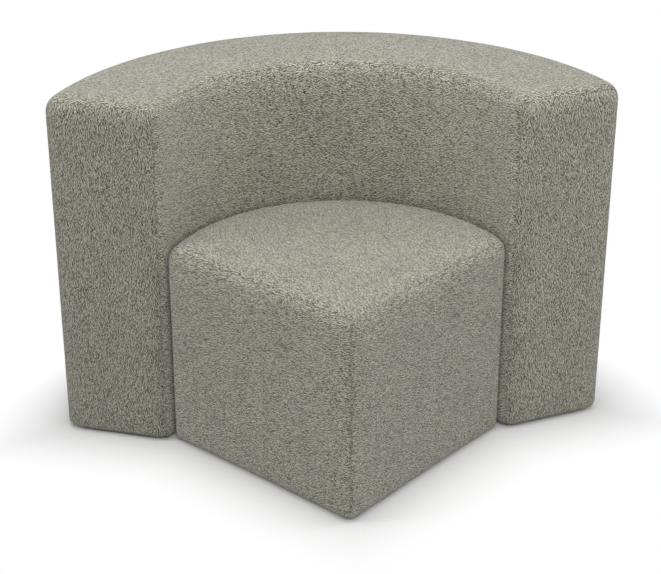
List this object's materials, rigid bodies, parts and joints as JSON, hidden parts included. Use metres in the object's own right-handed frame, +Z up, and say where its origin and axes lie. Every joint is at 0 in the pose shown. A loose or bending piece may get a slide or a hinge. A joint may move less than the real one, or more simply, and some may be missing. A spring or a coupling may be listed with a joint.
{
  "type": "corner lounge seat with curved back",
  "caption": "Free-standing upholstered corner lounge seat: a wedge-shaped seat nested in a curved wrap-around back, both covered to the floor.",
  "frame": {"origin": "on the floor, under the middle of the overall box", "axes": "+Z up, -Y towards the seat's front corner, +X to the right as seen by someone who faces the seat"},
  "size_m": [1.1344, 0.8148, 0.744],
  "materials": {
    "cover_fabric": "grey-beige flecked woven upholstery cloth",
    "foam": "open-cell polyurethane foam",
    "felt": "needled felt",
    "webbing": "woven elastic webbing",
    "dust_cloth": "black non-woven cloth",
    "plywood": "raw birch plywood",
    "solid_wood": "planed beech",
    "steel": "zinc plated",
    "nylon": "moulded black nylon"
  },
  "bodies": {
    "root": {"back_base_former": "plywood", "back_mid_former": "plywood", "back_top_former": "plywood", "back_rib_1": "plywood", "back_rib_2": "plywood", "back_rib_3": "plywood", "back_rib_4": "plywood", "back_rib_5": "plywood", "back_end_board_left": "plywood", "back_end_board_right": "plywood", "back_inner_skin": "plywood", "back_outer_skin": "plywood", "end_board_screws": "steel", "back_inner_foam": "foam", "back_outer_foam": "foam", "back_top_foam": "foam", "back_end_foam_left": "foam", "back_end_foam_right": "foam", "back_inner_cover": "cover_fabric", "back_outer_cover": "cover_fabric", "back_top_cover": "cover_fabric", "back_end_cover_left": "cover_fabric", "back_end_cover_right": "cover_fabric", "back_dust_cover": "dust_cloth", "back_glides": "nylon", "back_glide_screws": "steel", "seat_base_ring": "plywood", "seat_deck_ring": "plywood", "seat_side_board_left": "plywood", "seat_side_board_right": "plywood", "seat_rear_board": "plywood", "seat_front_block": "solid_wood", "seat_side_block_left": "solid_wood", "seat_side_block_right": "solid_wood", "seat_centre_rail": "solid_wood", "strap_right_1": "webbing", "strap_right_2": "webbing", "strap_right_3": "webbing", "strap_right_4": "webbing", "strap_left_1": "webbing", "strap_left_2": "webbing", "strap_left_3": "webbing", "strap_left_4": "webbing", "seat_felt": "felt", "seat_firm_foam": "foam", "seat_soft_foam": "foam", "seat_side_foam_left": "foam", "seat_side_foam_right": "foam", "seat_rear_foam": "foam", "seat_top_cover": "cover_fabric", "seat_side_cover_left": "cover_fabric", "seat_side_cover_right": "cover_fabric", "seat_rear_cover": "cover_fabric", "seat_dust_cover": "dust_cloth", "seat_glides": "nylon", "seat_glide_screws": "steel", "joining_plates": "steel", "joining_screws": "steel"}
  },
  "joints": []
}
